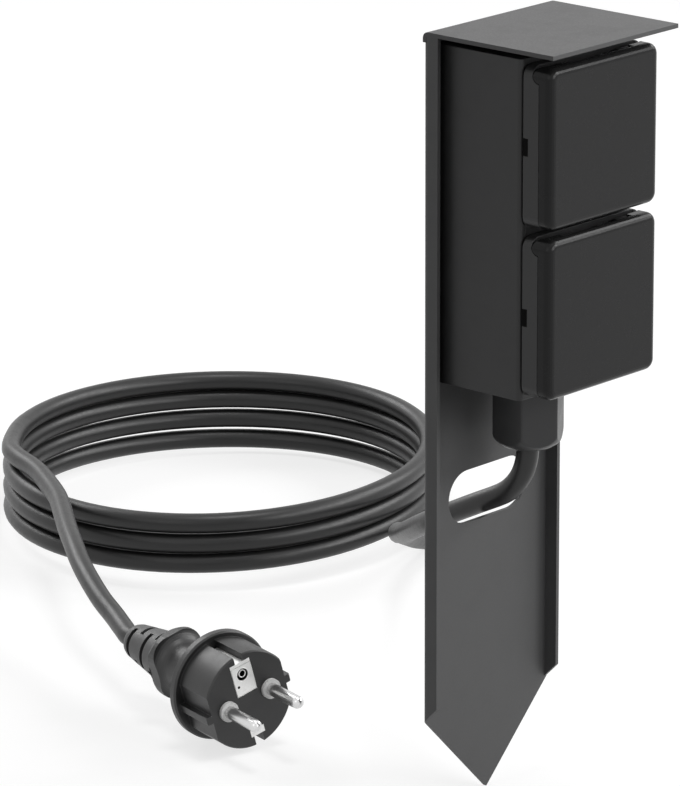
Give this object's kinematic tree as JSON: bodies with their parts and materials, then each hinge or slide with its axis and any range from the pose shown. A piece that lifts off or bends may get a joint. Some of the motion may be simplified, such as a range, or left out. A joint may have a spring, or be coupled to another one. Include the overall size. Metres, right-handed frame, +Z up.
{
  "type": "outdoor socket",
  "caption": "Garden power socket on a folded steel ground stake, with sprung hinged lids under a flat roof, a cable gland, and a mains cord that lies coiled and ends in a plug.",
  "frame": {"origin": "the point of the stake, on the rear face of the sheet, level with the floor that the cord lies on", "axes": "+Z up, +Y to the back, through the sheet, +X to the right of someone who faces the lids"},
  "size_m": [0.3098, 0.4361, 0.2825],
  "materials": {
    "post_coating": "fine matt powder coat",
    "housing_plastic": "matt",
    "frame_plastic": "matt",
    "lid_plastic": "satin",
    "insert_plastic": "matt",
    "gland_plastic": "satin",
    "seal_rubber": "matt",
    "screw_steel": "zinc plated",
    "hinge_steel": "bright",
    "spring_steel": "bright",
    "contact_brass": "bright",
    "earth_metal": "nickel plated",
    "live_insulation": "satin",
    "neutral_insulation": "satin",
    "earth_insulation": "satin",
    "cord_rubber": "satin",
    "plug_rubber": "matt",
    "pin_nickel": "polished nickel",
    "collar_plastic": "satin"
  },
  "bodies": {
    "post": {"ground_post": "post_coating", "box_screws": "screw_steel", "socket_box": "housing_plastic", "front_plate": "housing_plastic", "upper_frame_gasket": "seal_rubber", "lower_frame_gasket": "seal_rubber", "upper_frame": "frame_plastic", "lower_frame": "frame_plastic", "frame_screws": "screw_steel", "upper_hinge_pin": "hinge_steel", "lower_hinge_pin": "hinge_steel", "upper_lid_spring": "spring_steel", "lower_lid_spring": "spring_steel", "upper_socket_insert": "insert_plastic", "lower_socket_insert": "insert_plastic", "upper_earth_clip": "earth_metal", "lower_earth_clip": "earth_metal", "upper_contacts": "contact_brass", "lower_contacts": "contact_brass", "terminal_screws": "screw_steel", "live_wire": "live_insulation", "neutral_wire": "neutral_insulation", "earth_wire": "earth_insulation", "gland_body": "gland_plastic", "gland_washer": "seal_rubber", "gland_lock_nut": "gland_plastic", "gland_seal": "seal_rubber", "gland_cap": "gland_plastic", "cord_from_gland": "cord_rubber", "cord_coil": "cord_rubber", "cord_to_plug": "cord_rubber", "plug_body": "plug_rubber", "plug_strain_relief": "plug_rubber", "plug_pins": "pin_nickel", "plug_pin_collars": "collar_plastic", "plug_earth_contact": "earth_metal"},
    "upper_lid": {"upper_lid": "lid_plastic", "upper_lid_seal": "seal_rubber"},
    "lower_lid": {"lower_lid": "lid_plastic", "lower_lid_seal": "seal_rubber"}
  },
  "joints": [
    {"name": "upper_lid_hinge", "type": "hinge", "parent": "post", "child": "upper_lid", "pos_m": [0, -0.0482, 0.2734], "axis": [-1, 0, 0], "range_deg": [0, 90], "stiffness_Nm_per_rad": 0.01, "springref_deg": -28.65},
    {"name": "lower_lid_hinge", "type": "hinge", "parent": "post", "child": "lower_lid", "pos_m": [0, -0.0482, 0.2134], "axis": [-1, 0, 0], "range_deg": [0, 90], "stiffness_Nm_per_rad": 0.01, "springref_deg": -28.65}
  ]
}
